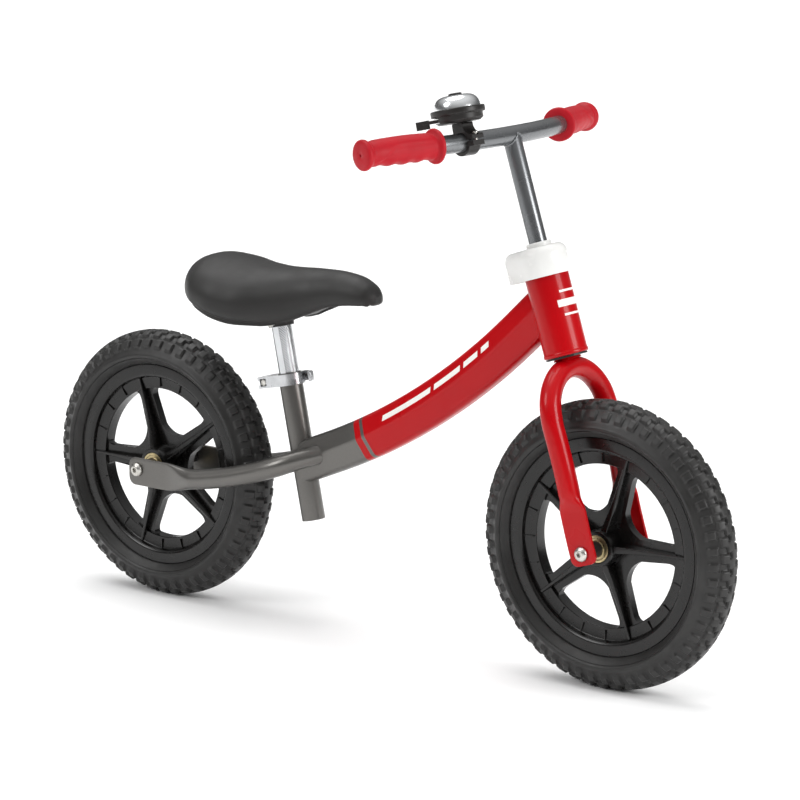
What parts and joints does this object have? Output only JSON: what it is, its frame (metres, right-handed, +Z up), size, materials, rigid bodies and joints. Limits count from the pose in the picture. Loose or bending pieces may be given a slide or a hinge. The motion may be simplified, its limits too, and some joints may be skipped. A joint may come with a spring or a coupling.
{
  "type": "balance bike",
  "caption": "Child's balance bike: curved beam frame, foam-tyred wheels, adjustable padded saddle, steering fork and handlebar with grips and bell, no pedals.",
  "frame": {"origin": "on the ground, midway between the two wheel axles, on the bike's middle plane", "axes": "+X forward, +Y the rider's left, +Z up"},
  "size_m": [0.898, 0.393, 0.606],
  "materials": {
    "paint_red": "gloss red paint",
    "paint_grey": "satin metallic grey paint",
    "bar_grey": "satin metallic light grey paint",
    "white_plastic": "gloss white moulded plastic",
    "black_plastic": "gloss black moulded plastic",
    "bell_plastic": "satin black moulded plastic",
    "tyre_foam": "moulded black foam",
    "grip_rubber": "soft red rubber",
    "saddle_vinyl": "satin black vinyl",
    "alloy": "polished",
    "chrome": "bright chrome",
    "zinc_steel": "bright zinc plate",
    "bearing_steel": "yellow zinc plate",
    "spacer_black": "satin black"
  },
  "bodies": {
    "frame": {"main_beam": "paint_red", "stay_right": "paint_grey", "stay_left": "paint_grey", "head_tube": "paint_red", "head_bushing_upper": "black_plastic", "head_bushing_lower": "black_plastic", "seat_tube": "paint_grey", "seat_clamp": "alloy", "seat_clamp_skewer": "zinc_steel", "seat_clamp_nut": "zinc_steel", "seat_clamp_pin": "zinc_steel", "rear_axle": "zinc_steel", "rear_spacer_right": "spacer_black", "rear_spacer_left": "spacer_black", "rear_axle_bolt_right": "zinc_steel", "rear_axle_bolt_left": "zinc_steel"},
    "clamp_lever": {"seat_clamp_lever": "alloy"},
    "rear_wheel": {"rear_tyre": "tyre_foam", "rear_wheel": "black_plastic", "rear_bearing_right": "bearing_steel", "rear_bearing_left": "bearing_steel"},
    "seat": {"saddle_cover": "saddle_vinyl", "saddle_base": "black_plastic", "seat_post": "chrome", "saddle_clamp": "spacer_black", "saddle_clamp_bolt": "zinc_steel"},
    "steering": {"fork": "paint_red", "steerer": "paint_red", "stem_clamp": "spacer_black", "stem_clamp_bolt": "zinc_steel", "stem_cover": "white_plastic", "handlebar": "bar_grey", "grip_right": "grip_rubber", "grip_left": "grip_rubber", "bell_clamp": "bell_plastic", "bell_clamp_screw": "zinc_steel", "bell_base": "bell_plastic", "bell_pin": "zinc_steel", "bell_dome": "chrome", "bell_cap": "bell_plastic", "bell_lever_pin": "zinc_steel", "front_axle": "zinc_steel", "front_spacer_right": "spacer_black", "front_spacer_left": "spacer_black", "front_axle_bolt_right": "zinc_steel", "front_axle_bolt_left": "zinc_steel"},
    "front_wheel": {"front_tyre": "tyre_foam", "front_wheel": "black_plastic", "front_bearing_right": "bearing_steel", "front_bearing_left": "bearing_steel"},
    "bell_lever": {"bell_lever": "bell_plastic"},
    "bell_striker": {"bell_striker": "zinc_steel"}
  },
  "joints": [
    {"name": "steering_turn", "type": "hinge", "parent": "frame", "child": "steering", "pos_m": [0.306, 0, 0.15], "axis": [-0.3123, 0, 0.95], "range_deg": [-90, 90]},
    {"name": "rear_wheel_spin", "type": "hinge", "parent": "frame", "child": "rear_wheel", "pos_m": [-0.299, 0, 0.15], "axis": [0, 1, 0], "continuous": true},
    {"name": "front_wheel_spin", "type": "hinge", "parent": "steering", "child": "front_wheel", "pos_m": [0.299, 0, 0.15], "axis": [0, 1, 0], "continuous": true},
    {"name": "seat_height", "type": "slide", "parent": "frame", "child": "seat", "axis": [-0.2079, 0, 0.9781], "range_m": [-0.035, 0.07]},
    {"name": "seat_clamp_lever_turn", "type": "hinge", "parent": "frame", "child": "clamp_lever", "pos_m": [-0.14412, 0.019, 0.26271], "axis": [-0.2079, 0, 0.9781], "range_deg": [0, 150]},
    {"name": "bell_lever_push", "type": "hinge", "parent": "steering", "child": "bell_lever", "pos_m": [0.15049, -0.08858, 0.57881], "axis": [0.2366, -0.0286, -0.9712], "range_deg": [0, 25], "stiffness_Nm_per_rad": 0.05},
    {"name": "bell_striker_turn", "type": "hinge", "parent": "steering", "child": "bell_striker", "pos_m": [0.1575, -0.07102, 0.58752], "axis": [-0.2366, 0.0286, 0.9712], "range_deg": [0, 100]}
  ],
  "couplings": [
    {"joint": "bell_striker_turn", "follows": "bell_lever_push", "ratio": 4}
  ]
}
